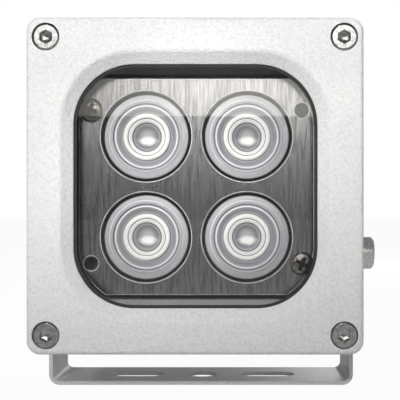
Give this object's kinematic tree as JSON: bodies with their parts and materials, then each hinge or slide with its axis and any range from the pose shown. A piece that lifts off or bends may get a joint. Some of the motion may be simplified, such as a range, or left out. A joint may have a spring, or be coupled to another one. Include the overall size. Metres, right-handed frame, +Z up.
{
  "type": "white light illuminator",
  "caption": "Square die-cast floodlight head with ring lenses behind a round-cornered glass window, fins at the back, tilting on a slotted U bracket.",
  "frame": {"origin": "centre of the bracket base's centre hole, on the base's underside", "axes": "+Z up, away from the surface the bracket stands on; the lamp faces -Y; +X to the right seen from the front"},
  "size_m": [0.1342, 0.1035, 0.129],
  "materials": {
    "white_powder_coat": "die-cast aluminium under white powder coat",
    "toughened_glass": "clear",
    "black_rubber": "matt",
    "black_plastic": "matt",
    "brushed_plate": "brushed upright",
    "clear_acrylic": "polished",
    "emitter_face": "phosphor under a clear dome",
    "lamp_board": "white solder mask on metal",
    "bare_aluminium": "milled",
    "plated_brass": "nickel plated",
    "driver_board": "solder mask",
    "ferrite": "sintered",
    "capacitor_can": "sleeved",
    "green_plastic": "moulded",
    "nylon": "moulded",
    "bracket_steel": "satin",
    "stainless_steel": "bright"
  },
  "bodies": {
    "bracket": {"mounting_bracket": "bracket_steel"},
    "head": {"bezel_screw_lower_left": "stainless_steel", "bezel_screw_lower_right": "stainless_steel", "bezel_screw_upper_left": "stainless_steel", "bezel_screw_upper_right": "stainless_steel", "board_screw_bottom": "stainless_steel", "board_screw_top": "stainless_steel", "capacitor_left": "capacitor_can", "capacitor_right": "capacitor_can", "driver_board": "driver_board", "driver_screw_lower_left": "stainless_steel", "driver_screw_lower_right": "stainless_steel", "driver_screw_upper_left": "stainless_steel", "driver_screw_upper_right": "stainless_steel", "emitter_lower_left": "emitter_face", "emitter_lower_right": "emitter_face", "emitter_upper_left": "emitter_face", "emitter_upper_right": "emitter_face", "front_bezel": "white_powder_coat", "front_glass": "toughened_glass", "gland_body": "black_plastic", "gland_cap_nut": "black_plastic", "gland_seal": "black_rubber", "glass_gasket": "black_rubber", "heat_spreader": "bare_aluminium", "housing_back": "white_powder_coat", "housing_gasket": "black_rubber", "inductor": "ferrite", "inner_frame": "black_plastic", "lamp_board": "lamp_board", "lens_holder_lower_left": "black_plastic", "lens_holder_lower_right": "black_plastic", "lens_holder_upper_left": "black_plastic", "lens_holder_upper_right": "black_plastic", "lens_lower_left": "clear_acrylic", "lens_lower_right": "clear_acrylic", "lens_plate": "brushed_plate", "lens_upper_left": "clear_acrylic", "lens_upper_right": "clear_acrylic", "plate_screw_lower_right": "stainless_steel", "plate_screw_upper_left": "stainless_steel", "rear_housing": "white_powder_coat", "side_bolt_left": "stainless_steel", "side_bolt_right": "stainless_steel", "side_spacer_left": "nylon", "side_spacer_right": "nylon", "side_washer_left": "stainless_steel", "side_washer_right": "stainless_steel", "spreader_screw_lower_left": "stainless_steel", "spreader_screw_lower_right": "stainless_steel", "spreader_screw_upper_left": "stainless_steel", "spreader_screw_upper_right": "stainless_steel", "standoff_lower_right": "plated_brass", "standoff_upper_left": "plated_brass", "terminal_block": "green_plastic"}
  },
  "joints": [
    {"name": "tilt", "type": "hinge", "parent": "bracket", "child": "head", "pos_m": [0, 0, 0.0495], "axis": [-1, 0, 0], "range_deg": [-15, 90]}
  ]
}
